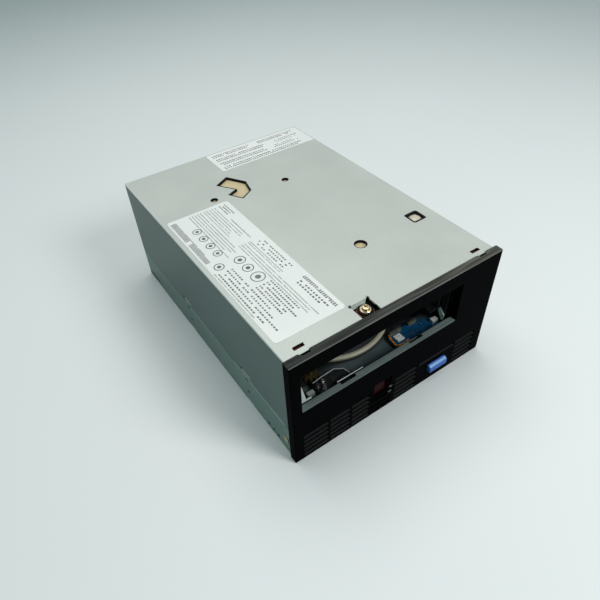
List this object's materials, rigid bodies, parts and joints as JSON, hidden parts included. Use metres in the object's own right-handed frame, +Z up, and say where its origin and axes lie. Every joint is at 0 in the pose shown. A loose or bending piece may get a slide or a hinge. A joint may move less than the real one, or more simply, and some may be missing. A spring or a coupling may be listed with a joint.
{
  "type": "tape drive",
  "caption": "Full-height 5.25-inch cartridge tape drive with a slotted bezel, louvres, display, eject button, cartridge loader, two reel motors, tape guides and a threading arm.",
  "frame": {"origin": "centre of the four tapped holes in the bottom of the case, on the bottom face", "axes": "+Z up, +X to the right seen from the front, the bezel faces -Y"},
  "size_m": [0.1484, 0.2135, 0.0834],
  "materials": {
    "zinc_cover": "satin",
    "zinc_tray": "satin",
    "black_plastic": "matt, lightly grained",
    "blue_plastic": "satin",
    "smoked_window": "gloss",
    "display_black": "matt",
    "clear_plastic": "gloss",
    "board_green": "satin solder mask",
    "board_blue": "satin solder mask",
    "chip_black": "matt",
    "connector_cream": "satin",
    "connector_black": "satin",
    "gold_steel": "yellow passivated zinc",
    "bright_steel": "machined",
    "spring_steel": "rolled sheet",
    "cast_alloy": "as cast",
    "turned_alloy": "turned",
    "brass": "machined",
    "grey_plastic": "satin",
    "cream_plastic": "satin",
    "tan_sheet": "satin film",
    "rubber": "matt",
    "ferrite": "lapped",
    "capacitor_sleeve": "satin sleeve"
  },
  "bodies": {
    "chassis": {"bezel": "black_plastic", "board_capacitors": "capacitor_sleeve", "board_chips": "chip_black", "board_spacers": "bright_steel", "bottom_tray": "zinc_tray", "case_screws": "gold_steel", "connector_contacts": "bright_steel", "cover_screw": "gold_steel", "data_connector": "connector_black", "deck": "cast_alloy", "deck_grommets": "rubber", "display_module": "display_black", "display_window": "smoked_window", "front_board": "board_green", "front_board_parts": "chip_black", "front_frame": "zinc_tray", "guide_pins": "bright_steel", "head_base": "cast_alloy", "head_bridge": "spring_steel", "head_rods": "bright_steel", "head_stepper": "bright_steel", "insulator_sheet": "tan_sheet", "light_pipes": "clear_plastic", "loader_board": "board_blue", "loader_board_parts": "connector_cream", "loader_fasteners": "bright_steel", "loader_frame": "spring_steel", "loader_motor": "bright_steel", "main_board": "board_green", "motor_bases": "cast_alloy", "motor_stators": "ferrite", "mount_posts": "bright_steel", "power_connector": "connector_cream", "rear_panel": "zinc_tray", "reel_bearings": "bright_steel", "screw_boss": "rubber", "sensor_cover": "grey_plastic", "service_connector": "connector_black", "shoulder_screws": "bright_steel", "threader_motor": "bright_steel", "top_cover": "zinc_cover"},
    "eject_button": {"eject_button": "blue_plastic"},
    "supply_drive": {"supply_turntable": "turned_alloy", "turntable_rim": "cream_plastic", "supply_clutch": "grey_plastic"},
    "takeup_drive": {"takeup_rotor": "turned_alloy", "takeup_reel": "grey_plastic", "takeup_flange": "grey_plastic"},
    "guide_roller_1": {"guide_roller_1": "turned_alloy"},
    "guide_roller_2": {"guide_roller_2": "turned_alloy"},
    "guide_roller_3": {"guide_roller_3": "turned_alloy"},
    "guide_roller_4": {"guide_roller_4": "turned_alloy"},
    "head_lift": {"head_carriage": "cast_alloy", "tape_head": "ferrite"},
    "head_screw": {"head_screw": "bright_steel"},
    "cam_yoke": {"cam_yoke": "spring_steel"},
    "cartridge_carrier": {"cartridge_carrier": "spring_steel"},
    "loader_gear": {"loader_gear": "cream_plastic"},
    "loader_pinion": {"loader_pinion": "brass"},
    "threader_arm": {"threader_arm": "spring_steel"}
  },
  "joints": [
    {"name": "eject_push", "type": "slide", "parent": "chassis", "child": "eject_button", "axis": [0, 1, 0], "range_m": [0, 0.001], "stiffness_N_per_m": 600, "springref_m": -0.0005},
    {"name": "supply_spin", "type": "hinge", "parent": "chassis", "child": "supply_drive", "pos_m": [-0.01175, -0.03642, 0.03], "axis": [0, 0, 1], "continuous": true},
    {"name": "takeup_spin", "type": "hinge", "parent": "chassis", "child": "takeup_drive", "pos_m": [-0.018, 0.06498, 0.03], "axis": [0, 0, 1], "continuous": true},
    {"name": "guide_spin_1", "type": "hinge", "parent": "chassis", "child": "guide_roller_1", "pos_m": [0.045, 0.02098, 0.045], "axis": [0, 0, 1], "continuous": true},
    {"name": "guide_spin_2", "type": "hinge", "parent": "chassis", "child": "guide_roller_2", "pos_m": [0.053, 0.02998, 0.045], "axis": [0, 0, 1], "continuous": true},
    {"name": "guide_spin_3", "type": "hinge", "parent": "chassis", "child": "guide_roller_3", "pos_m": [0.053, 0.06198, 0.045], "axis": [0, 0, 1], "continuous": true},
    {"name": "guide_spin_4", "type": "hinge", "parent": "chassis", "child": "guide_roller_4", "pos_m": [0.043, 0.07197, 0.045], "axis": [0, 0, 1], "continuous": true},
    {"name": "head_lift", "type": "slide", "parent": "chassis", "child": "head_lift", "axis": [0, 0, 1], "range_m": [-0.0038, 0.0038]},
    {"name": "head_screw_turn", "type": "hinge", "parent": "chassis", "child": "head_screw", "pos_m": [0.046, 0.04598, 0.03], "axis": [0, 0, 1], "range_deg": [-690, 690]},
    {"name": "cam_slide", "type": "slide", "parent": "chassis", "child": "cam_yoke", "axis": [0, 1, 0], "range_m": [0, 0.012]},
    {"name": "carrier_drop", "type": "slide", "parent": "chassis", "child": "cartridge_carrier", "axis": [0, 0, 1], "range_m": [-0.006, 0]},
    {"name": "loader_gear_turn", "type": "hinge", "parent": "chassis", "child": "loader_gear", "pos_m": [-0.056, -0.0612, 0.036], "axis": [0, 0, 1], "range_deg": [-86, 0]},
    {"name": "pinion_turn", "type": "hinge", "parent": "chassis", "child": "loader_pinion", "pos_m": [-0.0479, -0.07072, 0.036], "axis": [0, 0, 1], "range_deg": [0, 153]},
    {"name": "threader_swing", "type": "hinge", "parent": "chassis", "child": "threader_arm", "pos_m": [0.03, 0.04598, 0.06], "axis": [0, 0, 1], "range_deg": [0, 210]}
  ],
  "couplings": [
    {"joint": "head_screw_turn", "follows": "head_lift", "rad_per_m": 3141.6},
    {"joint": "carrier_drop", "follows": "cam_slide", "ratio": -0.5},
    {"joint": "loader_gear_turn", "follows": "cam_slide", "rad_per_m": -125},
    {"joint": "pinion_turn", "follows": "cam_slide", "rad_per_m": 222.22}
  ]
}
